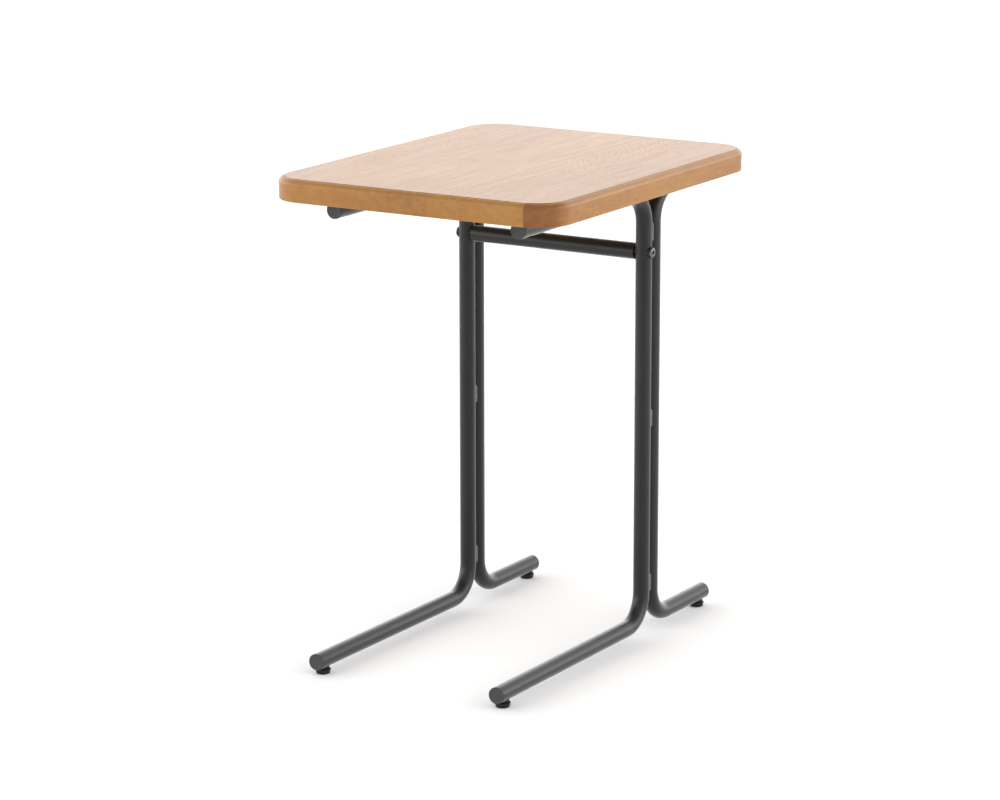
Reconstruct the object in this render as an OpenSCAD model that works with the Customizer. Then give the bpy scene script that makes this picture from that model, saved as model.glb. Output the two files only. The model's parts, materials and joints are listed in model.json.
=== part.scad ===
// Small C-leg work table: a solid wood top on two legs of paired bent tube.
// Origin: floor level, under the middle of the footprint. +Z up, -Y is the open (knee) side.

/* [Top] */
// Width of the top, across the legs
top_w = 424; // [400:1:520]
// Depth of the top, along the feet
top_d = 539; // [500:1:600]
// Thickness of the top
top_t = 29.5; // [24:0.5:36]
// Height of the work surface above the floor
table_h = 650; // [600:1:760]
// Radius of the top's corners seen from above
corner_r = 49; // [30:1:80]
// Width of the moulded edge, from the flat surface out to the side
edge_w = 6.5; // [4:0.5:10]
// Height of the small step at the top of the moulded edge
edge_step = 0.7; // [0.5:0.1:3]
// Rounding along the lower edge of the top
under_r = 1.5; // [0.5:0.5:3]

/* [Legs] */
// Outside diameter of the leg tube
tube_d = 22; // [20:0.5:25]
// Wall thickness of the tube
tube_wall = 1.5; // [1.2:0.1:2.5]
// Distance between the two legs, centre to centre
leg_spacing = 273.6; // [240:0.1:300]
// Distance between the front and rear tube of one leg, centre to centre
pair_spacing = 23.3; // [23:0.1:26]
// How far the upright pair stands behind the middle of the table
post_back = 112.9; // [90:0.1:130]
// Centreline radius of the bends
bend_r = 42; // [40:1:55]
// Length of the feet over their end caps
foot_l = 553; // [540:1:570]
// Height of the feet's centreline above the floor
foot_z = 18.5; // [18:0.1:24]
// Distance from the front edge of the top to the end of the front arms
arm_inset = 47.5; // [30:1:80]
// Gap between the arms and the top, filled by the spacers
arm_gap = 3.6; // [2:0.1:8]

/* [Crossbar] */
// Height of the crossbar's centreline
bar_z = 526; // [450:0.1:540]
// Diameter of the bolts that hold the crossbar and of the glide studs
bolt_d = 8; // [6:1:8]
// Head diameter of the crossbar bolts
bolt_head_d = 14; // [13:0.5:15]
// Head height of the crossbar bolts
bolt_head_h = 2.9; // [2.8:0.1:5]

/* [Glides] */
// Diameter of the glide pads at their widest
pad_d = 20.4; // [18:0.2:22]
// Height of the glide pads, to the top of their rim
pad_h = 6.4; // [6:0.1:6.6]
// Distance from the end of a foot to the middle of its glide
glide_inset = 16.4; // [16:0.1:30]

/* [Hidden] */
$fn = 64;
eps = 0.5;                 // overrun of cutting shapes
run_gap = 0.05;            // radial clearance of a thread in its nut

// Sides and ends, as signs
LEFT = -1;
RIGHT = 1;
FRONT = -1;
REAR = 1;

// Tubes
tube_r = tube_d / 2;
bore_r = tube_r - tube_wall;
leg_x = leg_spacing / 2;
cap_t = 1.6;               // flange thickness of the end caps
cap_grip = 7;              // length of a cap inside its tube
top_z = table_h - top_t;   // underside of the top
arm_z = top_z - arm_gap - tube_r;

// Reach of each tube end from its own upright, without the cap
foot_reach = [foot_l / 2 + post_back - pair_spacing / 2 - cap_t,
              foot_l / 2 - post_back - pair_spacing / 2 - cap_t];
arm_reach = [top_d / 2 - arm_inset + post_back - pair_spacing / 2 - cap_t,
             top_d / 2 - arm_inset - post_back - pair_spacing / 2 - cap_t];

// Fixing of the top, with the bolt heads inside the arms
fix_r = 3;                 // radius of the fixing bolts
fix_head_r = 5;
fix_head_h = 2.8;
fix_seat = sqrt(pow(bore_r, 2) - pow(fix_head_r, 2)) - 0.1;  // heads' upper face above the arms' axis
fix_access_r = 6.5;        // radius of the access holes under the arms
fix_deep = 14;             // how far a fixing bolt reaches into the top
insert_r = 4.5;
insert_l = 15;
spacer_l = 24;
spacer_w = 14;
front_fix_y = [-top_d / 2 + arm_inset + 22, 20];
rear_fix_y = [post_back + 90];

// Crossbar fixing
bolt_r = bolt_d / 2;
socket_af = 5;
bar_nut_l = 14;
bar_half = leg_x - tube_r - 0.05;       // half length of the bar, just clear of the tubes
bar_nut_in = 0.4;          // how far the nut sits inside the bar's end
washer_r = 8;
washer_t = 0.7;            // washer thickness over the crown of the tube

// Glides
hex_af = 13;
hex_h = 1.8;
stud_top = 21;
stud_foot = 1.6;           // bottom of the stud inside its pad
nut_bottom = foot_z - tube_r - 0.2;
nut_top = 16;
pad_foot_r = pad_d / 2 - 1;
pad_floor = 4.9;           // floor of the recess that the hexagon turns in

function post_y(end) = post_back + end * pair_spacing / 2;
function reach(list, end) = end == FRONT ? list[0] : list[1];
function glide_y(end) = end * (foot_l / 2 - glide_inset);

// A cylinder along X or Y, starting at the local origin
module along_x(r, l) { rotate([0, 90, 0]) cylinder(r = r, h = l); }
module along_y(r, l) { rotate([-90, 0, 0]) cylinder(r = r, h = l); }

// A quarter bend in the YZ plane, from angle a0, where 0 is down, 90 is +Y and 180 is up
module bend(r, a0) {
  rotate([0, 90, 0])
    rotate([0, 0, a0])
      rotate_extrude(angle = 90)
        translate([bend_r, 0])
          circle(r = r);
}

// A rod along the leg's centreline, with its upright at y = 0 and both ends towards -Y
module leg_rod(r, foot, arm, overrun = 0) {
  translate([0, -foot - overrun, foot_z]) along_y(r, foot + overrun - bend_r);
  translate([0, -bend_r, foot_z + bend_r]) bend(r, 0);
  translate([0, 0, foot_z + bend_r]) cylinder(r = r, h = arm_z - foot_z - 2 * bend_r);
  translate([0, -bend_r, arm_z - bend_r]) bend(r, 90);
  translate([0, -arm - overrun, arm_z]) along_y(r, arm + overrun - bend_r);
}

// One bent tube of a leg with its bolt, fixing and glide holes
module leg_tube(side, end) {
  color([0.22, 0.22, 0.22])
    difference() {
      translate([side * leg_x, post_y(end), 0])
        mirror([0, end == REAR ? 1 : 0, 0])
          difference() {
            leg_rod(tube_r, reach(foot_reach, end), reach(arm_reach, end));
            leg_rod(bore_r, reach(foot_reach, end), reach(arm_reach, end), eps);
          }
      for (y = end == FRONT ? front_fix_y : rear_fix_y)
        translate([side * leg_x, y, arm_z]) {
          cylinder(r = fix_r + 0.3, h = tube_r + eps);
          translate([0, 0, -tube_r - eps]) cylinder(r = fix_access_r, h = tube_r);
        }
      translate([side * leg_x, glide_y(end), foot_z - tube_r - eps])
        cylinder(r = 6, h = tube_r);
      if (end == FRONT)
        translate([side * leg_x - tube_r - eps, post_y(FRONT), bar_z])
          along_x(bolt_r + 0.3, tube_d + 2 * eps);
    }
}

// Six weld beads in the grooves between the two tubes of one leg
module leg_welds(side) {
  bead_r = 2.6;
  bead_x = 5.2;
  bead_l = 24;
  color([0.38, 0.38, 0.38])
    for (z = [72, 300, 552])
      for (face = [-1, 1])
        translate([side * leg_x + face * bead_x, post_back, z - bead_l / 2])
          difference() {
            cylinder(r = bead_r, h = bead_l);
            for (e = [-1, 1])
              translate([-face * bead_x, e * pair_spacing / 2, -eps])
                cylinder(r = tube_r, h = bead_l + 2 * eps);
          }
}

// Profile of the board's border, from its inner line at x = 0 out to x = corner_r
module border_profile() {
  w = corner_r;
  edge_lean = 15;               // how far the moulded edge's ends lean from upright and flat
  edge_r = edge_w * sqrt(2);
  edge_centre = [w - edge_r * cos(edge_lean), top_t - edge_step - edge_r * cos(edge_lean)];
  polygon(concat(
    [[0, 0], [w - under_r, 0]],
    [for (a = [15:15:90]) [w - under_r + under_r * sin(a), under_r - under_r * cos(a)]],
    [for (a = [edge_lean:7.5:90 - edge_lean]) edge_centre + edge_r * [cos(a), sin(a)]],
    [[w - edge_w, top_t], [0, top_t]]));
}

// The board in nine pieces that meet face to face: middle, four sides and four corners
module board() {
  mid_x = top_w - 2 * corner_r;
  mid_y = top_d - 2 * corner_r;
  translate([-mid_x / 2, -mid_y / 2, 0]) cube([mid_x, mid_y, top_t]);
  for (turn = [0, 180])
    rotate([0, 0, turn]) {
      translate([mid_x / 2, mid_y / 2, 0])
        rotate([90, 0, 0]) linear_extrude(height = mid_y) border_profile();
      translate([-mid_x / 2, mid_y / 2, 0])
        rotate([90, 0, 90]) linear_extrude(height = mid_x) border_profile();
      translate([mid_x / 2, mid_y / 2, 0]) rotate_extrude(angle = 90) border_profile();
      translate([-mid_x / 2, mid_y / 2, 0])
        rotate([0, 0, 90]) rotate_extrude(angle = 90) border_profile();
    }
}

// Places its children at every fixing point of the top
module at_fixings() {
  for (side = [LEFT, RIGHT])
    for (y = concat(front_fix_y, rear_fix_y))
      translate([side * leg_x, y, 0]) children();
}

module table_top() {
  color([0.80, 0.62, 0.42])
    difference() {
      translate([0, 0, top_z]) board();
      at_fixings() translate([0, 0, top_z - eps]) cylinder(r = insert_r, h = insert_l + 0.5 + eps);
    }
}

module top_inserts() {
  color([0.80, 0.66, 0.34])
    at_fixings() translate([0, 0, top_z])
      difference() {
        cylinder(r = insert_r, h = insert_l);
        translate([0, 0, -eps]) cylinder(r = fix_r, h = insert_l + 2 * eps);
      }
}

// Plastic saddles that carry the top on the round arms
module top_spacers() {
  saddle_drop = 2.4;
  color([0.10, 0.10, 0.10])
    at_fixings()
      difference() {
        translate([-spacer_w / 2, -spacer_l / 2, top_z - arm_gap - saddle_drop])
          cube([spacer_w, spacer_l, arm_gap + saddle_drop]);
        translate([0, -spacer_l / 2 - eps, arm_z]) along_y(tube_r, spacer_l + 2 * eps);
        translate([0, 0, top_z - tube_r]) cylinder(r = fix_r + 0.3, h = tube_r + eps);
      }
}

module top_bolts() {
  head_z = arm_z + fix_seat - fix_head_h;
  color([0.45, 0.45, 0.46])
    at_fixings()
      difference() {
        union() {
          translate([0, 0, head_z]) cylinder(r1 = fix_head_r - 1, r2 = fix_head_r, h = fix_head_h);
          translate([0, 0, head_z]) cylinder(r = fix_r - run_gap, h = top_z + fix_deep - head_z);
        }
        translate([0, 0, head_z - eps]) cylinder(r = 2, h = 2 + eps, $fn = 6);
      }
}

// Square-cut tube that butts against the inner sides of the two front tubes
module crossbar() {
  color([0.22, 0.22, 0.22])
    translate([-bar_half, post_y(FRONT), bar_z])
      difference() {
        along_x(tube_r, 2 * bar_half);
        translate([-eps, 0, 0]) along_x(bore_r, 2 * bar_half + 2 * eps);
      }
}

// Threaded slug welded inside each end of the crossbar
module bar_nut(side) {
  color([0.16, 0.16, 0.16])
    translate([side * (bar_half - bar_nut_in), post_y(FRONT), bar_z])
      mirror([side == RIGHT ? 1 : 0, 0, 0])
        difference() {
          along_x(bore_r, bar_nut_l);
          translate([-eps, 0, 0]) along_x(bolt_r, bar_nut_l + 2 * eps);
        }
}

// Washer with one face shaped to the tube
module bar_washer(side) {
  skirt = 3;
  color([0.08, 0.08, 0.08])
    difference() {
      translate([side * (leg_x + tube_r - skirt), post_y(FRONT), bar_z])
        mirror([side == LEFT ? 1 : 0, 0, 0]) along_x(washer_r, skirt + washer_t);
      translate([side * leg_x, post_y(FRONT), bar_z - tube_d]) cylinder(r = tube_r, h = 2 * tube_d);
      translate([side * leg_x, post_y(FRONT), bar_z])
        mirror([side == LEFT ? 1 : 0, 0, 0]) along_x(bolt_r + 0.3, 2 * tube_r);
    }
}

module bar_bolt(side) {
  head_x = leg_x + tube_r + washer_t;
  shank_l = head_x - bar_half + bar_nut_in + bar_nut_l - 2;
  socket_deep = 2.2;
  color([0.16, 0.16, 0.16])
    translate([side * head_x, post_y(FRONT), bar_z])
      mirror([side == LEFT ? 1 : 0, 0, 0])
        difference() {
          union() {
            translate([-shank_l, 0, 0]) along_x(bolt_r - run_gap, shank_l + 1);
            rotate([0, 90, 0]) rotate_extrude() bolt_head_profile();
          }
          translate([bolt_head_h - socket_deep, 0, 0])
            rotate([0, 90, 0]) cylinder(r = socket_af / sqrt(3), h = socket_deep + eps, $fn = 6);
        }
}

// Half profile of a button head with a flat crown
module bolt_head_profile() {
  head_r = bolt_head_d / 2;
  crown_r = 3.6;
  polygon(concat(
    [[0, 0], [head_r, 0], [head_r, 0.4]],
    [for (a = [15:15:90]) [crown_r + (head_r - crown_r) * cos(a), 0.4 + (bolt_head_h - 0.4) * sin(a)]],
    [[0, bolt_head_h]]));
}

// End cap: a flange flush with the tube and a grip inside it, opening towards +Y
module end_cap() {
  color([0.34, 0.34, 0.35]) {
    rotate([-90, 0, 0]) cylinder(r1 = tube_r - 0.6, r2 = tube_r, h = 0.6);
    translate([0, 0.6, 0]) along_y(tube_r, cap_t - 0.6);
    difference() {
      translate([0, cap_t, 0]) along_y(bore_r, cap_grip);
      translate([0, cap_t + 1, 0]) along_y(bore_r - 1.6, cap_grip);
    }
  }
}

module place_cap(side, end, z, half_l) {
  translate([side * leg_x, end * half_l, z]) mirror([0, end == REAR ? 1 : 0, 0]) end_cap();
}

module foot_cap(side, end) { place_cap(side, end, foot_z, foot_l / 2); }
module arm_cap(side, end) { place_cap(side, end, arm_z, top_d / 2 - arm_inset); }

// Threaded bush welded into the underside of a foot
module glide_nut(side, end) {
  color([0.50, 0.50, 0.51])
    translate([side * leg_x, glide_y(end), nut_bottom])
      difference() {
        cylinder(r = 6, h = nut_top - nut_bottom);
        translate([0, 0, -eps]) cylinder(r = bolt_r, h = nut_top - nut_bottom + 2 * eps);
      }
}

// Threaded stud with a hexagon in the pad's recess and a turning foot below it
module glide_stud(side, end) {
  color([0.10, 0.10, 0.10])
    translate([side * leg_x, glide_y(end), 0]) {
      translate([0, 0, stud_foot]) cylinder(r = bolt_r - run_gap, h = stud_top - stud_foot);
      translate([0, 0, pad_floor + run_gap]) cylinder(r = hex_af / sqrt(3), h = hex_h, $fn = 6);
    }
}

// Plastic cup-shaped pad, widest at its rim, with a recess and a blind socket for the stud
module glide_pad(side, end) {
  round_r = 1.5;
  rim_edge = 0.4;
  color([0.09, 0.09, 0.09])
    translate([side * leg_x, glide_y(end), 0])
      difference() {
        rotate_extrude()
          polygon([[0, 0], [pad_foot_r - round_r, 0], [pad_foot_r, round_r],
                   [pad_d / 2, pad_h - rim_edge], [pad_d / 2 - rim_edge, pad_h], [0, pad_h]]);
        translate([0, 0, pad_floor]) cylinder(r = hex_af / sqrt(3) + 0.5, h = pad_h);
        translate([0, 0, stud_foot - run_gap]) cylinder(r = bolt_r, h = pad_h);
      }
}

table_top();
top_inserts();
top_spacers();
top_bolts();
leg_tube(LEFT, FRONT);  // left_front_tube
leg_tube(LEFT, REAR);  // left_rear_tube
leg_tube(RIGHT, FRONT);  // right_front_tube
leg_tube(RIGHT, REAR);  // right_rear_tube
leg_welds(LEFT);  // left_welds
leg_welds(RIGHT);  // right_welds
crossbar();
bar_nut(LEFT);  // left_bar_nut
bar_nut(RIGHT);  // right_bar_nut
bar_washer(LEFT);  // left_bar_washer
bar_washer(RIGHT);  // right_bar_washer
bar_bolt(LEFT);  // left_bar_bolt
bar_bolt(RIGHT);  // right_bar_bolt
arm_cap(LEFT, FRONT);  // left_front_arm_cap
arm_cap(LEFT, REAR);  // left_rear_arm_cap
arm_cap(RIGHT, FRONT);  // right_front_arm_cap
arm_cap(RIGHT, REAR);  // right_rear_arm_cap
foot_cap(LEFT, FRONT);  // left_front_foot_cap
foot_cap(LEFT, REAR);  // left_rear_foot_cap
foot_cap(RIGHT, FRONT);  // right_front_foot_cap
foot_cap(RIGHT, REAR);  // right_rear_foot_cap
glide_nut(LEFT, FRONT);  // left_front_glide_nut
glide_nut(LEFT, REAR);  // left_rear_glide_nut
glide_nut(RIGHT, FRONT);  // right_front_glide_nut
glide_nut(RIGHT, REAR);  // right_rear_glide_nut
glide_stud(LEFT, FRONT);  // left_front_glide_stud
glide_stud(LEFT, REAR);  // left_rear_glide_stud
glide_stud(RIGHT, FRONT);  // right_front_glide_stud
glide_stud(RIGHT, REAR);  // right_rear_glide_stud
glide_pad(LEFT, FRONT);  // left_front_glide_pad
glide_pad(LEFT, REAR);  // left_rear_glide_pad
glide_pad(RIGHT, FRONT);  // right_front_glide_pad
glide_pad(RIGHT, REAR);  // right_rear_glide_pad
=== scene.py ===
"""Looks of the small C-leg work table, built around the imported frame."""

import json
import math

import bmesh
import bpy
from mathutils import Matrix, Vector


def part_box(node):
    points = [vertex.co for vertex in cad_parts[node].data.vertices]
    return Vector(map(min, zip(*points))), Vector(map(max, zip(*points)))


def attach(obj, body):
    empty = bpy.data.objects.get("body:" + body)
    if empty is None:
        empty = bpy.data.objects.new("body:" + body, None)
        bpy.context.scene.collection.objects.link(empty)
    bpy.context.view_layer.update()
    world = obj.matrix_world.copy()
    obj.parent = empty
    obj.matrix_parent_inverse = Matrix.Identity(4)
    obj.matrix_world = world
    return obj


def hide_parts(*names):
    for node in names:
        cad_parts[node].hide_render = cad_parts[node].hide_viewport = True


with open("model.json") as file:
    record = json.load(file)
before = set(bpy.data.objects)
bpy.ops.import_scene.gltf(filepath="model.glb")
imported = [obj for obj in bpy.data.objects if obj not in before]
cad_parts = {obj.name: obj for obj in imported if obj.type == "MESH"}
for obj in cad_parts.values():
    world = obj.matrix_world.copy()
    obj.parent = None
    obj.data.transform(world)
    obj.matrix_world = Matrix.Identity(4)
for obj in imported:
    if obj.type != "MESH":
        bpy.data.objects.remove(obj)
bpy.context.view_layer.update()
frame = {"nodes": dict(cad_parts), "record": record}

SIDES = ("left", "right")
ENDS = ("front", "rear")
SIGN = {"left": -1.0, "right": 1.0, "front": -1.0, "rear": 1.0}
CORNERS = [f"{side}_{end}" for side in SIDES for end in ENDS]

# ---------------------------------------------------------------- places, from the frame


def node_box(node):
    low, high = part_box(node)
    return Vector(low), Vector(high)


def node_centre(node):
    low, high = node_box(node)
    return (low + high) / 2


TOP_LOW, TOP_HIGH = node_box("table_top")
TUBE_R = (node_box("crossbar")[1].z - node_box("crossbar")[0].z) / 2
BAR_Z = node_centre("crossbar").z
ARM_Z = node_centre("left_front_arm_cap").z
FRONT_POST_Y = node_centre("left_bar_bolt").y

# ---------------------------------------------------------------- shader graphs


class Graph:
    """A few short ways to add nodes to one shader tree."""

    def __init__(self, tree):
        self.tree = tree

    def node(self, kind, inputs=None, **settings):
        made = self.tree.nodes.new(kind)
        for key, value in settings.items():
            setattr(made, key, value)
        for key, value in (inputs or {}).items():
            self.put(made.inputs[key], value)
        return made

    def put(self, socket, value):
        if isinstance(value, bpy.types.NodeSocket):
            self.tree.links.new(value, socket)
        else:
            socket.default_value = value

    def math(self, operation, a, b=0.0, clamp=False):
        made = self.node("ShaderNodeMath", {0: a, 1: b}, operation=operation)
        made.use_clamp = clamp
        return made.outputs[0]

    def total(self, *terms):
        result = terms[0]
        for term in terms[1:]:
            result = self.math("ADD", result, term)
        return result

    def scaled(self, vector, factors):
        made = self.node("ShaderNodeVectorMath", {0: vector, 1: factors}, operation="MULTIPLY")
        return made.outputs[0]

    def noise(self, vector, scale, detail=2.0, roughness=0.5):
        inputs = {"Vector": vector, "Scale": scale, "Detail": detail, "Roughness": roughness}
        return self.node("ShaderNodeTexNoise", inputs).outputs["Fac"]

    def spread(self, value, low, high, to_low=0.0, to_high=1.0):
        inputs = {"Value": value, 1: low, 2: high, 3: to_low, 4: to_high}
        return self.node("ShaderNodeMapRange", inputs).outputs[0]

    def ramp(self, value, stops):
        made = self.node("ShaderNodeValToRGB", {"Fac": value})
        points = made.color_ramp.elements
        while len(points) < len(stops):
            points.new(1.0)
        for point, (place, colour) in zip(points, stops):
            point.position = place
            point.color = (*colour, 1.0)
        return made.outputs["Color"]

    def mix(self, factor, a, b):
        made = self.node("ShaderNodeMix", data_type="RGBA")
        self.put(made.inputs["Factor"], factor)
        self.put(made.inputs[6], a)
        self.put(made.inputs[7], b)
        return made.outputs[2]

    def bump(self, height, strength, distance):
        inputs = {"Height": height, "Strength": strength, "Distance": distance}
        return self.node("ShaderNodeBump", inputs).outputs["Normal"]


def new_material(name):
    """A material with a Principled shader, its graph, and the object coordinates in metres."""
    made = bpy.data.materials.new(name)
    made.use_nodes = True
    graph = Graph(made.node_tree)
    shader = made.node_tree.nodes["Principled BSDF"]
    place = graph.node("ShaderNodeTexCoord").outputs["Object"]
    return made, graph, shader, place


# ---------------------------------------------------------------- materials

STAVE_JOINTS = (-0.105, 0.031, 0.172)
PITH_X, PITH_DEPTH, TAPER, TONE, END_GRAIN_AND_SHADE, FIGURE = range(6)
# One row for each stave, from the left. The end-grain column is real end-grain darkening. Its large value on
# the last stave also paints shade on the front of the rounded corner.
STAVES = (
    (-0.177, 0.056, 0.200, 0.00, 0.08, 1.05),
    (-0.045, 0.190, 0.040, -0.02, 0.12, 0.40),
    (0.054, 0.048, 0.240, 0.02, 0.04, 1.30),
    (0.270, 0.080, 0.060, -0.11, 0.76, 0.30),
)
RING_WIDTH = 0.0034
WOOD_PALE = (0.390, 0.190, 0.038)
WOOD_MID = (0.322, 0.143, 0.023)
WOOD_DEEP = (0.240, 0.094, 0.013)
WOOD_DARK = (0.160, 0.055, 0.006)
WOOD_WARM = (0.340, 0.118, 0.016, 1.0)
PORE_BROWN = (0.105, 0.046, 0.018, 1.0)


def per_stave(graph, across, column):
    """The value in one column of STAVES for the stave that a point is in."""
    result = STAVES[0][column]
    for joint, before, after in zip(STAVE_JOINTS, STAVES, STAVES[1:]):
        past = graph.math("GREATER_THAN", across, joint)
        step = graph.math("MULTIPLY", past, after[column] - before[column])
        result = graph.math("ADD", step, result)
    return result


def near_joint(graph, across):
    """1 on the glue lines between staves and 0 elsewhere."""
    result = 0.0
    for joint in STAVE_JOINTS:
        distance = graph.math("ABSOLUTE", graph.math("SUBTRACT", across, joint))
        result = graph.math("MAXIMUM", graph.spread(distance, 0.00025, 0.0006, 1.0, 0.0), result)
    return result


def wood_material():
    made, graph, shader, place = new_material("lacquered_wood")
    across, along, height = graph.node("ShaderNodeSeparateXYZ", {0: place}).outputs
    # the distance from each stave's pith, with a slow wander along the grain
    slow = graph.scaled(place, (1.0, 0.24, 1.0))
    wander = graph.spread(graph.noise(slow, 11.0, 1.0), 0.0, 1.0, -0.018, 0.018)
    flutter = graph.spread(graph.noise(slow, 110.0, 3.0, 0.6), 0.0, 1.0, -0.0038, 0.0038)
    off_x = graph.math("SUBTRACT", across, per_stave(graph, across, PITH_X))
    taper = graph.math("MULTIPLY", along, per_stave(graph, across, TAPER))
    depth = graph.math("SUBTRACT", height, TOP_HIGH.z)
    off_z = graph.total(depth, per_stave(graph, across, PITH_DEPTH), taper)
    radius = graph.total(graph.math("POWER", off_x, 2.0), graph.math("POWER", off_z, 2.0))
    radius = graph.math("SQRT", radius)
    turns = graph.math("DIVIDE", graph.total(radius, wander, flutter), RING_WIDTH)
    late = graph.ramp(graph.math("FRACT", turns), (
        (0.0, (0.12, 0.12, 0.12)),
        (0.50, (0.22, 0.22, 0.22)),
        (0.86, (1.0, 1.0, 1.0)),
        (1.0, (0.12, 0.12, 0.12)),
    ))
    broken = graph.noise(graph.scaled(place, (1.0, 0.16, 1.0)), 420.0, 2.0, 0.5)
    figure = graph.math("MULTIPLY", late, per_stave(graph, across, FIGURE))
    figure = graph.math("MULTIPLY", figure, graph.spread(broken, 0.38, 0.62, 0.10, 1.15))
    # fine fibres, streaks and short open pores, all stretched along the grain
    fibre = graph.noise(graph.scaled(place, (1.0, 0.02, 1.0)), 1500.0, 3.0, 0.6)
    streak = graph.noise(graph.scaled(place, (1.0, 0.05, 1.0)), 170.0, 3.0, 0.6)
    pore_seed = graph.noise(graph.scaled(place, (1.0, 0.07, 1.0)), 620.0, 1.0, 0.5)
    pore = graph.math("MULTIPLY", graph.spread(pore_seed, 0.60, 0.70), graph.math("POWER", late, 1.5))
    blotch = graph.noise(slow, 8.0, 2.0)
    mottle = graph.noise(graph.scaled(place, (1.0, 0.40, 1.3)), 75.0, 3.0, 0.65)
    # end grain drinks more lacquer: darker, with softer rings. The darkening grows as a face turns to look
    # along Y. On the corner stave it is strong enough that it is also painted shade on the rounded corner's
    # front, not only end grain.
    normal = graph.node("ShaderNodeTexCoord").outputs["Normal"]
    facing = graph.node("ShaderNodeSeparateXYZ", {0: normal}).outputs
    end_grain_and_shade = graph.math("ABSOLUTE", facing[1])
    upright = graph.math("SUBTRACT", 1.0, graph.math("ABSOLUTE", facing[2]))
    figure = graph.math("MULTIPLY", figure, graph.spread(end_grain_and_shade, 0.0, 1.0, 1.0, 0.30))
    # painted shade on the corner stave, on top of real end-grain darkening
    end_grain_and_shade = graph.math("MULTIPLY", graph.math("POWER", end_grain_and_shade, 0.8), per_stave(graph, across, END_GRAIN_AND_SHADE))
    mottled = graph.spread(mottle, 0.35, 0.65, -0.12, 0.12)
    tone = graph.total(
        graph.math("MULTIPLY", figure, 0.50),
        graph.math("MULTIPLY", graph.spread(streak, 0.3, 0.7), 0.17),
        graph.math("MULTIPLY", graph.spread(fibre, 0.3, 0.7), 0.12),
        graph.math("MULTIPLY", graph.spread(blotch, 0.3, 0.7), 0.30),
        graph.math("MULTIPLY", mottled, graph.spread(upright, 0.0, 1.0, 0.5, 1.0)),
        end_grain_and_shade,
    )
    tone = graph.math("SUBTRACT", tone, per_stave(graph, across, TONE), clamp=True)
    colour = graph.ramp(tone, ((0.0, WOOD_PALE), (0.42, WOOD_MID), (0.75, WOOD_DEEP), (1.0, WOOD_DARK)))
    warm_seed = graph.noise(graph.scaled(place, (1.0, 0.5, 1.0)), 42.0, 3.0, 0.6)
    warm = graph.spread(warm_seed, 0.42, 0.66, 0.0, 0.4)
    warm = graph.math("MULTIPLY", warm, graph.spread(upright, 0.0, 1.0, 0.4, 1.0))
    colour = graph.mix(warm, colour, WOOD_WARM)
    colour = graph.mix(graph.math("MULTIPLY", pore, 0.45), colour, PORE_BROWN)
    colour = graph.mix(graph.math("MULTIPLY", near_joint(graph, across), 0.35), colour, PORE_BROWN)
    graph.put(shader.inputs["Base Color"], colour)
    graph.put(shader.inputs["Roughness"], graph.spread(streak, 0.2, 0.8, 0.36, 0.46))
    relief = graph.math("SUBTRACT", graph.math("MULTIPLY", fibre, 0.3), pore)
    graph.put(shader.inputs["Normal"], graph.bump(relief, 0.12, 0.0002))
    shader.inputs["Specular IOR Level"].default_value = 0.4
    shader.inputs["Coat Weight"].default_value = 0.15
    shader.inputs["Coat Roughness"].default_value = 0.25
    return made


def powder_coat_material(name, dark, light, roughness, texture=1400.0, relief=0.10):
    """Baked powder paint: a faint mottle and the orange peel of the melted powder."""
    made, graph, shader, place = new_material(name)
    mottle = graph.noise(place, 38.0, 3.0)
    colour = graph.mix(graph.spread(mottle, 0.3, 0.7), (*dark, 1.0), (*light, 1.0))
    graph.put(shader.inputs["Base Color"], colour)
    peel = graph.noise(place, texture, 2.0)
    fine = graph.noise(place, texture * 0.25, 2.0)
    graph.put(shader.inputs["Roughness"], graph.spread(fine, 0.3, 0.7, roughness - 0.04, roughness + 0.05))
    graph.put(shader.inputs["Normal"], graph.bump(graph.math("ADD", peel, fine), relief, 0.0001))
    shader.inputs["Specular IOR Level"].default_value = 0.36
    shader.inputs["Sheen Weight"].default_value = 0.55
    shader.inputs["Sheen Roughness"].default_value = 0.35
    return made


def plastic_material(name, dark, light, roughness, shine=0.5):
    """Moulded plastic with a spark-eroded grain and slight wear in its shine."""
    made, graph, shader, place = new_material(name)
    cloud = graph.noise(place, 120.0, 3.0)
    colour = graph.mix(graph.spread(cloud, 0.3, 0.7), (*dark, 1.0), (*light, 1.0))
    graph.put(shader.inputs["Base Color"], colour)
    graph.put(shader.inputs["Roughness"], graph.spread(cloud, 0.3, 0.7, roughness - 0.06, roughness + 0.06))
    grain = graph.noise(place, 3200.0, 1.0)
    graph.put(shader.inputs["Normal"], graph.bump(grain, 0.25, 0.00008))
    shader.inputs["Specular IOR Level"].default_value = shine
    return made


def metal_material(name, dark, light, roughness, brush=(1.0, 1.0, 0.04)):
    """Plated or turned metal with fine tool lines across the brush direction."""
    made, graph, shader, place = new_material(name)
    lines = graph.noise(graph.scaled(place, brush), 2200.0, 2.0)
    cloud = graph.noise(place, 240.0, 3.0)
    colour = graph.mix(graph.spread(cloud, 0.3, 0.7), (*dark, 1.0), (*light, 1.0))
    graph.put(shader.inputs["Base Color"], colour)
    graph.put(shader.inputs["Roughness"], graph.spread(lines, 0.2, 0.8, roughness - 0.07, roughness + 0.09))
    graph.put(shader.inputs["Normal"], graph.bump(lines, 0.15, 0.00005))
    shader.inputs["Metallic"].default_value = 1.0
    return made


def floor_material():
    made, graph, shader, place = new_material("studio_floor")
    cloud = graph.noise(place, 0.6, 2.0)
    colour = graph.mix(cloud, (0.95, 0.95, 0.95, 1.0), (0.97, 0.97, 0.97, 1.0))
    graph.put(shader.inputs["Base Color"], colour)
    shader.inputs["Roughness"].default_value = 0.9
    shader.inputs["Specular IOR Level"].default_value = 0.2
    return made


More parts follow.
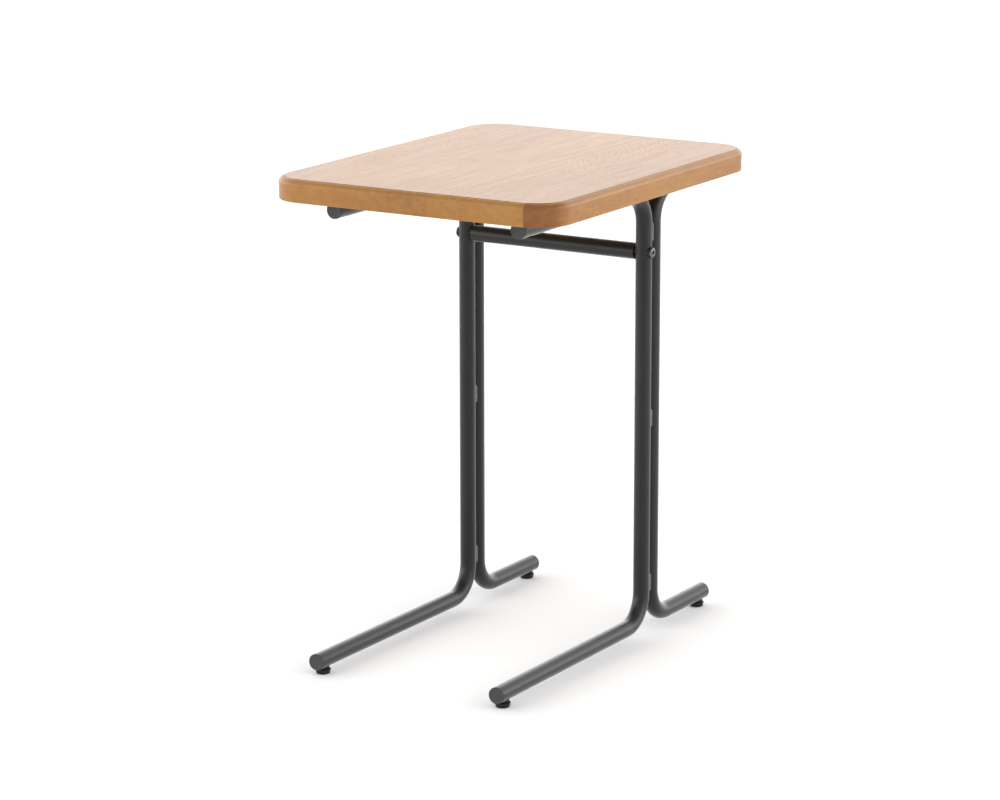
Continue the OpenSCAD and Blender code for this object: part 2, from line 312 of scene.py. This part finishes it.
WOOD = wood_material()
POWDER = powder_coat_material("charcoal_powder_coat", (0.006, 0.006, 0.0057), (0.009, 0.009, 0.0086), 0.36)
WELD = powder_coat_material("coated_weld", (0.080, 0.080, 0.078), (0.150, 0.150, 0.147), 0.26, 900.0, 0.25)
CAP = plastic_material("cap_plastic", (0.022, 0.023, 0.024), (0.029, 0.030, 0.031), 0.52)
GLIDE = plastic_material("glide_plastic", (0.006, 0.006, 0.006), (0.010, 0.010, 0.0095), 0.40, 0.3)
STUD = plastic_material("blackened_stud", (0.006, 0.006, 0.006), (0.012, 0.012, 0.012), 0.38, 0.25)
BLACK = plastic_material("black_plastic", (0.008, 0.008, 0.008), (0.012, 0.012, 0.012), 0.45)
OXIDE = metal_material("black_oxide_steel", (0.110, 0.110, 0.112), (0.160, 0.160, 0.163), 0.30)
ZINC = metal_material("zinc_plate", (0.50, 0.50, 0.51), (0.62, 0.62, 0.63), 0.30)
BRASS = metal_material("turned_brass", (0.70, 0.50, 0.22), (0.80, 0.60, 0.28), 0.28)
SLOT_LOOK = {
    "top_wood": WOOD,
    "powder_coat": POWDER,
    "weld_bead": WELD,
    "cap_plastic": CAP,
    "glide_plastic": GLIDE,
    "black_plastic": BLACK,
    "black_oxide": OXIDE,
    "zinc_steel": ZINC,
    "brass_insert": BRASS,
}
NODE_SLOT = {part["node"]: part["material_slot"] for part in frame["record"]["subparts"]}
NODE_BODY = {node: body for body, nodes in frame["record"]["behaviour"]["bodies"].items() for node in nodes}

DARK_NODES = [f"{corner}_glide_stud" for corner in CORNERS] + [f"{side}_bar_washer" for side in SIDES]


def look(node):
    return STUD if node in DARK_NODES else SLOT_LOOK[NODE_SLOT[node]]


for node_name, node_object in frame["nodes"].items():
    node_object.data.materials.clear()
    node_object.data.materials.append(look(node_name))

# ---------------------------------------------------------------- mesh helpers


def link_piece(name, bm, material, node, sharp_deg):
    """Turns a bmesh into a piece that rides with one CAD node's body."""
    bmesh.ops.recalc_face_normals(bm, faces=bm.faces)
    data = bpy.data.meshes.new(name)
    bm.to_mesh(data)
    bm.free()
    data.shade_smooth()
    data.set_sharp_from_angle(angle=math.radians(sharp_deg))
    data.materials.append(material)
    piece = bpy.data.objects.new(name, data)
    bpy.context.scene.collection.objects.link(piece)
    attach(piece, NODE_BODY[node])
    return piece


def add_piece(name, bm, node, sharp_deg=32.0):
    """Adds a piece that stands in for one CAD node."""
    piece = link_piece(name, bm, look(node), node, sharp_deg)
    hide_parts(node)


def arc(centre, radius, start_deg, end_deg, steps):
    """Points on an arc, as pairs."""
    points = []
    for step in range(steps + 1):
        angle = math.radians(start_deg + (end_deg - start_deg) * step / steps)
        points.append((centre[0] + radius * math.cos(angle), centre[1] + radius * math.sin(angle)))
    return points


def bridge(bm, first, second):
    """Joins two loops of the same length, or a loop and a single vertex."""
    count = max(len(first), len(second))
    for index in range(count):
        after = (index + 1) % count
        corners = []
        for loop, place in ((first, index), (first, after), (second, after), (second, index)):
            vert = loop[place % len(loop)]
            if vert not in corners:
                corners.append(vert)
        bm.faces.new(corners)


def axis_frame(origin, direction):
    """A matrix whose local Z runs along the direction, from the origin."""
    turn = Vector((0, 0, 1)).rotation_difference(Vector(direction)).to_matrix().to_4x4()
    return Matrix.Translation(Vector(origin)) @ turn


THREAD_PITCH = 0.00125


def ring_reach(radius, kind, height, angle):
    """How far a ring reaches from the axis at one angle."""
    if kind == "hex":
        return radius / math.cos((angle + math.pi / 6) % (math.pi / 3) - math.pi / 6)
    if kind == "thread":
        phase = (height / THREAD_PITCH - angle / math.tau) % 1.0
        return radius - 0.00062 * abs(2 * phase - 1)
    return radius


def turned(bm, rings, place, segments=48, closed=False):
    """A solid of revolution through rings of (radius, height, kind); radius 0 is a pole."""
    loops = []
    for radius, height, *kind in rings:
        kind = kind[0] if kind else "round"
        if radius == 0:
            loops.append([bm.verts.new(place @ Vector((0, 0, height)))])
            continue
        loop = []
        for index in range(segments):
            angle = math.tau * index / segments
            reach = ring_reach(radius, kind, height, angle)
            point = Vector((reach * math.cos(angle), reach * math.sin(angle), height))
            loop.append(bm.verts.new(place @ point))
        loops.append(loop)
    for first, second in zip(loops, loops[1:]):
        bridge(bm, first, second)
    if closed:
        bridge(bm, loops[-1], loops[0])


def thread_rings(radius, start, end, per_turn=7):
    """Rings for a thread, running out smoothly at both ends."""
    steps = max(2, round((end - start) / THREAD_PITCH * per_turn))
    heights = [start + (end - start) * step / steps for step in range(steps + 1)]
    return [(radius, height, "thread") for height in heights]


# ---------------------------------------------------------------- wooden top


def table_top():
    """The board: one profile carried round a rectangle with round corners."""
    corner_r = 0.049
    edge_w = 0.0065
    edge_step = 0.0007
    under_r = 0.0015
    arris_r = 0.0005
    quirk = 0.0006
    side_inset = 0.0003
    edge_lean = 15
    edge_r = edge_w * math.sqrt(2)
    edge_sink = edge_r * math.cos(math.radians(edge_lean))
    thick = TOP_HIGH.z - TOP_LOW.z
    profile = [(under_r + 0.004, 0.0)]
    profile += arc((side_inset + under_r, under_r), under_r, -90, -180, 6)
    profile.append((side_inset, thick - edge_step - edge_w - side_inset))
    profile += arc((edge_sink, thick - edge_step - edge_sink), edge_r, 180 - edge_lean, 90 + edge_lean, 12)
    profile += [(edge_w + quirk * 0.5, thick - edge_step - quirk), (edge_w + quirk, thick - edge_step)]
    profile += arc((edge_w + quirk + arris_r, thick - arris_r), arris_r, 180, 90, 5)
    profile.append((edge_w + 0.004, thick))
    half = (TOP_HIGH - TOP_LOW) / 2
    centre = (TOP_HIGH + TOP_LOW) / 2
    bm = bmesh.new()
    loops = []
    for inset, height in profile:
        loop = []
        radius = corner_r - inset
        for sx, sy, start in ((1, 1, 0), (-1, 1, 90), (-1, -1, 180), (1, -1, 270)):
            corner = (centre.x + sx * (half.x - corner_r), centre.y + sy * (half.y - corner_r))
            for x, y in arc(corner, radius, start, start + 90, 20):
                loop.append(bm.verts.new((x, y, TOP_LOW.z + height)))
        loops.append(loop)
    for first, second in zip(loops, loops[1:]):
        bridge(bm, first, second)
    bm.faces.new(loops[0])
    bm.faces.new(loops[-1])
    add_piece("solid_wood_top", bm, "table_top", 40.0)


table_top()

# ---------------------------------------------------------------- welds


def weld_bead(bm, x, y, z_low, z_high, outward):
    """One rippled bead: overlapping drops of metal laid up the groove between two tubes."""
    rows = 44
    columns = 14
    ripple = 0.0019
    half_width = 0.0030
    depth = 0.0026
    loops = []
    for row in range(rows + 1):
        share = row / rows
        height = z_low + (z_high - z_low) * share
        taper = min(1.0, 1.6 * math.sqrt(min(share, 1 - share) * 4) + 0.25)
        drop = abs(math.sin(math.pi * (height - z_low) / ripple)) ** 0.5
        swell = taper * (0.86 + 0.14 * drop)
        loop = []
        for column in range(columns):
            angle = math.tau * column / columns
            lag = 0.0007 * math.cos(angle)
            along = min(max(height - lag, z_low), z_high)
            reach_x = outward * depth * swell * math.cos(angle)
            loop.append(bm.verts.new((x + reach_x, y + half_width * swell * math.sin(angle), along)))
        loops.append(loop)
    for first, second in zip(loops, loops[1:]):
        bridge(bm, first, second)
    bm.faces.new(loops[0])
    bm.faces.new(loops[-1])


WELD_LENGTH = 0.024


def welds(side):
    node = f"{side}_welds"
    low, high = node_box(node)
    middle = (low + high) / 2
    half_x = (high.x - low.x) / 2 - 0.0026
    stations = (low.z + WELD_LENGTH / 2, 0.300, high.z - WELD_LENGTH / 2)
    bm = bmesh.new()
    for station in stations:
        for outward in (-1.0, 1.0):
            x = middle.x + outward * half_x
            weld_bead(bm, x, middle.y, station - WELD_LENGTH / 2, station + WELD_LENGTH / 2, outward)
    add_piece(f"{side}_weld_beads", bm, node, 50.0)


# ---------------------------------------------------------------- crossbar fixing


def bar_bolt(side):
    """A low button head with a hexagon socket, on a threaded shank."""
    node = f"{side}_bar_bolt"
    low, high = node_box(node)
    outer, inner = (high.x, low.x) if side == "right" else (low.x, high.x)
    head_r = (high.y - low.y) / 2
    head_h = 0.0029
    length = abs(outer - inner)
    crown_r = 0.0038
    socket_r = 0.0025
    shank_r = 0.00395
    under_head = length - head_h
    edge = 0.0004
    rings = [(0, 0), (shank_r - 0.0008, 0), (shank_r, 0.0008)]
    rings += thread_rings(shank_r, 0.001, under_head - 0.012)
    rings += [(shank_r, under_head - 0.0115), (shank_r, under_head), (head_r - 0.0002, under_head)]
    rings.append((head_r, under_head + 0.0002))
    for out_part, up_part in arc((0, 0), 1.0, 0, 90, 8):
        reach = crown_r + (head_r - crown_r) * out_part
        rings.append((reach, under_head + edge + (head_h - edge) * up_part))
    rings += [(socket_r + 0.00075, length), (socket_r + 0.00055, length - 0.0001)]
    rings += [(socket_r, length - 0.0005, "hex"), (socket_r, length - 0.0022, "hex")]
    rings += [(0.0012, length - 0.0026), (0, length - 0.0027)]
    bm = bmesh.new()
    turned(bm, rings, axis_frame((inner, FRONT_POST_Y, BAR_Z), (SIGN[side], 0, 0)))
    add_piece(f"{side}_crossbar_bolt", bm, node, 30.0)


def bar_washer(side):
    """A washer whose inner face is hollowed to sit on the round tube."""
    node = f"{side}_bar_washer"
    low, high = node_box(node)
    outer = high.x if side == "right" else low.x
    sign = SIGN[side]
    leg_x = outer - sign * (TUBE_R + 0.0007)
    outer_r = (high.y - low.y) / 2
    bore_r = 0.0043
    rim = 0.0004
    segments = 64
    profile = ((bore_r, -0.0004), (bore_r + rim, 0.0), (outer_r - rim, 0.0), (outer_r, -rim))
    bm = bmesh.new()
    loops = []
    for radius, drop in profile:
        loop = []
        for index in range(segments):
            angle = math.tau * index / segments
            loop.append(bm.verts.new((outer + sign * drop, low.y + outer_r + radius * math.cos(angle),
                                      BAR_Z + radius * math.sin(angle))))
        loops.append(loop)
    for radius in (outer_r, outer_r - 0.003, bore_r):
        loop = []
        for index in range(segments):
            angle = math.tau * index / segments
            y = radius * math.cos(angle)
            x = leg_x + sign * (math.sqrt(TUBE_R ** 2 - y ** 2) + 0.00003)
            loop.append(bm.verts.new((x, low.y + outer_r + y, BAR_Z + radius * math.sin(angle))))
        loops.append(loop)
    for first, second in zip(loops, loops[1:]):
        bridge(bm, first, second)
    bridge(bm, loops[-1], loops[0])
    add_piece(f"{side}_saddle_washer", bm, node, 35.0)


def bar_nut(side):
    """A slug with a tapped hole and turned chamfers."""
    node = f"{side}_bar_nut"
    low, high = node_box(node)
    outer_r = (high.z - low.z) / 2
    length = high.x - low.x
    bore_r = 0.0046
    rings = [(bore_r + 0.0005, 0.0), (outer_r - 0.0006, 0.0), (outer_r, 0.0006), (outer_r, length - 0.0006)]
    rings += [(outer_r - 0.0006, length), (bore_r + 0.0005, length)]
    rings += list(reversed(thread_rings(bore_r, 0.0006, length - 0.0006)))
    bm = bmesh.new()
    turned(bm, rings, axis_frame((low.x, FRONT_POST_Y, BAR_Z), (1, 0, 0)), closed=True)
    add_piece(f"{side}_crossbar_slug", bm, node)


for side_name in SIDES:
    welds(side_name)
    bar_bolt(side_name)
    bar_washer(side_name)
    bar_nut(side_name)

# ---------------------------------------------------------------- end caps


def end_cap(corner, level):
    """A moulded cap: a flange with a rounded rim, a shadow groove, and a ribbed grip inside the tube."""
    node = f"{corner}_{level}_cap"
    low, high = node_box(node)
    centre = (low + high) / 2
    front = corner.endswith("front")
    radius = (high.x - low.x) / 2
    length = high.y - low.y
    flange = 0.0016
    bore_r = radius - 0.0015
    rim_r = 0.0006
    rings = [(0, 0.00025), (radius * 0.55, 0.00022), (radius - 0.0022, 0.00018), (radius - 0.0016, 0.00004)]
    rings += arc((radius - rim_r, rim_r), rim_r, 270, 360, 6)
    rings += [(radius, flange - 0.0004), (radius - 0.0003, flange - 0.0001)]
    rings.append((bore_r - 0.0001, flange - 0.0001))
    ribs = 3
    for rib in range(ribs):
        base = flange + 0.0006 + rib * 0.0021
        rings += [(bore_r - 0.0005, base), (bore_r - 0.0001, base + 0.0004)]
        rings += [(bore_r - 0.0001, base + 0.0010), (bore_r - 0.0005, base + 0.0015)]
    rings += [(bore_r - 0.0008, length), (bore_r - 0.0017, length), (bore_r - 0.0017, flange + 0.0010)]
    rings.append((0, flange + 0.0010))
    origin = (centre.x, low.y if front else high.y, centre.z)
    bm = bmesh.new()
    turned(bm, rings, axis_frame(origin, (0, 1.0 if front else -1.0, 0)))
    add_piece(f"{corner}_{level}_end_cap", bm, node, 34.0)


# ---------------------------------------------------------------- glides

PAD_FLOOR = 0.0049  # floor of the recess in a pad, above its underside


def glide_pad(corner):
    """A cup-shaped foot, widest at its rim, with a recess that the hexagon turns in."""
    node = f"{corner}_glide_pad"
    low, high = node_box(node)
    centre = (low + high) / 2
    radius = (high.x - low.x) / 2
    height = high.z - low.z
    foot_r = radius - 0.0010
    round_r = 0.0015
    recess_r = 0.0080
    rings = [(0, 0.0003), (foot_r * 0.50, 0.0003), (foot_r * 0.56, 0.0), (foot_r - round_r, 0.0)]
    rings += arc((foot_r - round_r, round_r), round_r, 280, 355, 6)
    rings += [(radius - 0.0004, height * 0.60), (radius - 0.0001, height * 0.82)]
    rings += arc((radius - 0.0005, height - 0.0005), 0.0005, 0, 90, 5)
    rings += arc((recess_r + 0.0004, height - 0.0004), 0.0004, 90, 180, 4)
    rings += [(recess_r, PAD_FLOOR), (0.0050, PAD_FLOOR), (0.0041, PAD_FLOOR - 0.0006)]
    rings += [(0.0041, 0.00155), (0, 0.00155)]
    bm = bmesh.new()
    turned(bm, rings, axis_frame((centre.x, centre.y, low.z), (0, 0, 1)), 64)
    add_piece(f"{corner}_glide_foot", bm, node, 38.0)


def glide_stud(corner):
    """A threaded stud with a chamfered hexagon in the pad's recess."""
    node = f"{corner}_glide_stud"
    low, high = node_box(node)
    centre = (low + high) / 2
    pad_low = node_box(f"{corner}_glide_pad")[0].z
    foot = low.z
    hex_low = pad_low + PAD_FLOOR + 0.00005 - foot
    hex_high = hex_low + 0.0018
    length = high.z - low.z
    half_flats = 0.0065
    stud_r = 0.00395
    rings = [(0, 0), (stud_r - 0.0006, 0), (stud_r, 0.0006), (stud_r, hex_low)]
    rings += [(half_flats - 0.0004, hex_low), (half_flats, hex_low + 0.0003, "hex")]
    rings += [(half_flats, hex_high - 0.0004, "hex"), (half_flats - 0.0003, hex_high)]
    rings.append((stud_r - 0.0003, hex_high))
    rings += thread_rings(stud_r, hex_high + 0.0004, length - 0.0010)
    rings += [(stud_r - 0.0010, length), (0, length)]
    bm = bmesh.new()
    turned(bm, rings, axis_frame((centre.x, centre.y, foot), (0, 0, 1)))
    add_piece(f"{corner}_glide_screw", bm, node, 30.0)


def glide_nut(corner):
    """A weld-in bush with a tapped hole."""
    node = f"{corner}_glide_nut"
    low, high = node_box(node)
    centre = (low + high) / 2
    outer_r = (high.x - low.x) / 2
    length = high.z - low.z
    bore_r = 0.0046
    rings = [(bore_r + 0.0005, 0.0), (outer_r - 0.0003, 0.0), (outer_r, 0.0003), (outer_r, length - 0.0005)]
    rings += [(outer_r - 0.0005, length), (bore_r + 0.0005, length)]
    rings += list(reversed(thread_rings(bore_r, 0.0006, length - 0.0006)))
    bm = bmesh.new()
    turned(bm, rings, axis_frame((centre.x, centre.y, low.z), (0, 0, 1)), closed=True)
    add_piece(f"{corner}_glide_bush", bm, node)


def glide_collar(corner):
    """A black moulded collar round the bush, let into the underside of the foot."""
    node = f"{corner}_glide_nut"
    low, high = node_box(node)
    centre = (low + high) / 2
    inner_r = (high.x - low.x) / 2 + 0.0001
    outer_r = 0.0083
    foot = 0.0001
    top = 0.0038
    edge = 0.0004
    rings = [(inner_r, foot), (outer_r - edge, foot), (outer_r, foot + edge), (outer_r, top), (inner_r, top)]
    bm = bmesh.new()
    turned(bm, rings, axis_frame((centre.x, centre.y, low.z), (0, 0, 1)), 64, closed=True)
    link_piece(f"{corner}_glide_collar", bm, GLIDE, node, 34.0)


for corner_name in CORNERS:
    glide_collar(corner_name)
    end_cap(corner_name, "foot")
    end_cap(corner_name, "arm")
    glide_pad(corner_name)
    glide_stud(corner_name)
    glide_nut(corner_name)

# ---------------------------------------------------------------- fixing of the top

LEG_X = node_centre("right_front_foot_cap").x
SPACER_LENGTH = 0.024
FIX_LOW, FIX_HIGH = node_box("top_spacers")
BOLT_LOW, BOLT_HIGH = node_box("top_bolts")
FIX_Y = (FIX_LOW.y + SPACER_LENGTH / 2, 0.020, FIX_HIGH.y - SPACER_LENGTH / 2)


def at_fixings(make, name, node, sharp_deg=32.0):
    """Repeats one small part at the six fixings of the top, as one piece."""
    bm = bmesh.new()
    for x in (-LEG_X, LEG_X):
        for y in FIX_Y:
            make(bm, x, y)
    add_piece(name, bm, node, sharp_deg)


def top_bolt(bm, x, y):
    head_r = 0.0050
    head_h = 0.0028
    shank_r = 0.00295
    length = BOLT_HIGH.z - BOLT_LOW.z
    rings = [(0, 0.0022), (0.0015, 0.0022), (0.0018, 0.0019, "hex"), (0.0018, 0.0003, "hex"), (0.0025, 0.0)]
    rings += [(head_r - 0.0012, 0.0), (head_r - 0.0004, 0.0008), (head_r, 0.0020), (head_r, head_h)]
    rings += [(shank_r, head_h), (shank_r, head_h + 0.004)]
    rings += thread_rings(shank_r, head_h + 0.0045, length - 0.001, 5)
    rings += [(shank_r - 0.0008, length), (0, length)]
    turned(bm, rings, axis_frame((x, y, BOLT_LOW.z), (0, 0, 1)), 36)


def top_insert(bm, x, y):
    low, high = node_box("top_inserts")
    outer_r = 0.0045
    bore_r = 0.0036
    length = high.z - low.z
    rings = [(bore_r + 0.0004, 0.0), (outer_r - 0.0002, 0.0), (outer_r, 0.0004), (outer_r, 0.0010)]
    rings += thread_rings(outer_r, 0.0016, length - 0.0010, 5)
    rings += [(outer_r - 0.0008, length), (bore_r + 0.0002, length)]
    rings += [(bore_r, length - 0.0004), (bore_r, 0.0004)]
    turned(bm, rings, axis_frame((x, y, low.z), (0, 0, 1)), 36, closed=True)


def top_spacer(bm, x, y):
    """A saddle block with rounded ends, hollowed underneath for the arm and bored for the bolt."""
    half_w = (FIX_HIGH.x - LEG_X) - 0.00005
    half_l = SPACER_LENGTH / 2
    corner_r = 0.003
    bore_r = 0.0034
    outline = []
    for sx, sy, start in ((1, 1, 0), (-1, 1, 90), (-1, -1, 180), (1, -1, 270)):
        outline += arc((sx * (half_w - corner_r), sy * (half_l - corner_r)), corner_r, start, start + 90, 8)
    turns = [math.tau * index / len(outline) for index in range(len(outline))]
    round_hole = [(bore_r * math.cos(turn), bore_r * math.sin(turn)) for turn in turns]

    def under(px):
        return ARM_Z + math.sqrt((TUBE_R + 0.00003) ** 2 - px ** 2)

    steps = 6
    loops = []
    for step in range(steps + 1):
        share = step / steps
        blend = [((1 - share) * ox + share * hx, (1 - share) * oy + share * hy)
                 for (ox, oy), (hx, hy) in zip(outline, round_hole)]
        loops.append([bm.verts.new((x + px, y + py, under(px))) for px, py in blend])
    top = TOP_LOW.z - 0.00002
    loops.append([bm.verts.new((x + px, y + py, top)) for px, py in round_hole])
    small = [(px * 0.965, py * 0.98) for px, py in outline]
    loops.append([bm.verts.new((x + px, y + py, top)) for px, py in small])
    loops.append([bm.verts.new((x + px, y + py, top - 0.0003)) for px, py in outline])
    for first, second in zip(loops, loops[1:]):
        bridge(bm, first, second)
    bridge(bm, loops[-1], loops[0])


at_fixings(top_bolt, "top_fixing_bolts", "top_bolts")
at_fixings(top_insert, "top_thread_inserts", "top_inserts")
at_fixings(top_spacer, "top_saddles", "top_spacers", 40.0)

# ---------------------------------------------------------------- studio

CAMERA_PLACE = Vector((2.361, -3.9455, 1.4166))
CAMERA_AZIMUTH = 31.15
CAMERA_DOWN = 13.303
CAMERA_ROLL = -0.0856
CAMERA_LENS = 128.354


def studio_camera():
    data = bpy.data.cameras.new("camera")
    data.lens = CAMERA_LENS
    data.sensor_width = 36.0
    data.clip_end = 200.0
    camera = bpy.data.objects.new("camera", data)
    turn = Matrix.Rotation(math.radians(CAMERA_AZIMUTH), 4, "Z")
    tilt = Matrix.Rotation(math.radians(90.0 - CAMERA_DOWN), 4, "X")
    roll = Matrix.Rotation(math.radians(CAMERA_ROLL), 4, "Z")
    camera.matrix_world = Matrix.Translation(CAMERA_PLACE) @ turn @ tilt @ roll
    bpy.context.scene.collection.objects.link(camera)
    bpy.context.scene.camera = camera


# Studio light: strength and width of each soft lobe of the white surroundings
BACK_LIGHT = (2.35, 3.0)
BACK_LIGHT_RISE = 15.0
SIDE_LIGHT = (4.7, 2.5)
TOP_LIGHT = (1.1, 3.0)
TOP_LIGHT_RISE = 50.0
AMBIENT = 0.03
SIDE_LOWNESS = 2.0


def studio_world():
    """A white studio, brightest behind and beside the table and dim where the camera stands."""
    world = bpy.data.worlds.new("studio")
    world.use_nodes = True
    bpy.context.scene.world = world
    graph = Graph(world.node_tree)
    direction = graph.node("ShaderNodeTexCoord").outputs["Generated"]
    azimuth = math.radians(CAMERA_AZIMUTH)

    def lobe(towards, strength, power, both_ways=False):
        dot = graph.node("ShaderNodeVectorMath", {0: direction, 1: towards}, operation="DOT_PRODUCT")
        amount = dot.outputs["Value"]
        if both_ways:
            amount = graph.math("ABSOLUTE", amount)
        amount = graph.math("MAXIMUM", amount, 0.0)
        return graph.math("MULTIPLY", graph.math("POWER", amount, power), strength)

    def raised(degrees, away):
        level = away * math.cos(math.radians(degrees))
        return (level * math.sin(azimuth), -level * math.cos(azimuth), math.sin(math.radians(degrees)))

    back = lobe(raised(BACK_LIGHT_RISE, -1.0), *BACK_LIGHT)
    beside = lobe((math.cos(azimuth), math.sin(azimuth), 0.0), *SIDE_LIGHT, both_ways=True)
    height = graph.node("ShaderNodeSeparateXYZ", {0: direction}).outputs[2]
    lowness = graph.math("SUBTRACT", 1.0, graph.math("MULTIPLY", height, height))
    beside = graph.math("MULTIPLY", beside, graph.math("POWER", lowness, SIDE_LOWNESS))
    above = lobe(raised(TOP_LIGHT_RISE, 1.0), *TOP_LIGHT)
    shader = world.node_tree.nodes["Background"]
    shader.inputs["Color"].default_value = (1.0, 1.0, 1.0, 1.0)
    graph.put(shader.inputs["Strength"], graph.total(back, beside, above, AMBIENT))


def studio_floor():
    half = 30.0
    data = bpy.data.meshes.new("studio_floor")
    square = [(-half, -half, 0), (half, -half, 0), (half, half, 0), (-half, half, 0)]
    data.from_pydata(square, [], [(0, 1, 2, 3)])
    data.materials.append(floor_material())
    floor = bpy.data.objects.new("studio_floor", data)
    bpy.context.scene.collection.objects.link(floor)


studio_camera()
studio_world()
studio_floor()
bpy.context.scene.view_settings.view_transform = "Standard"
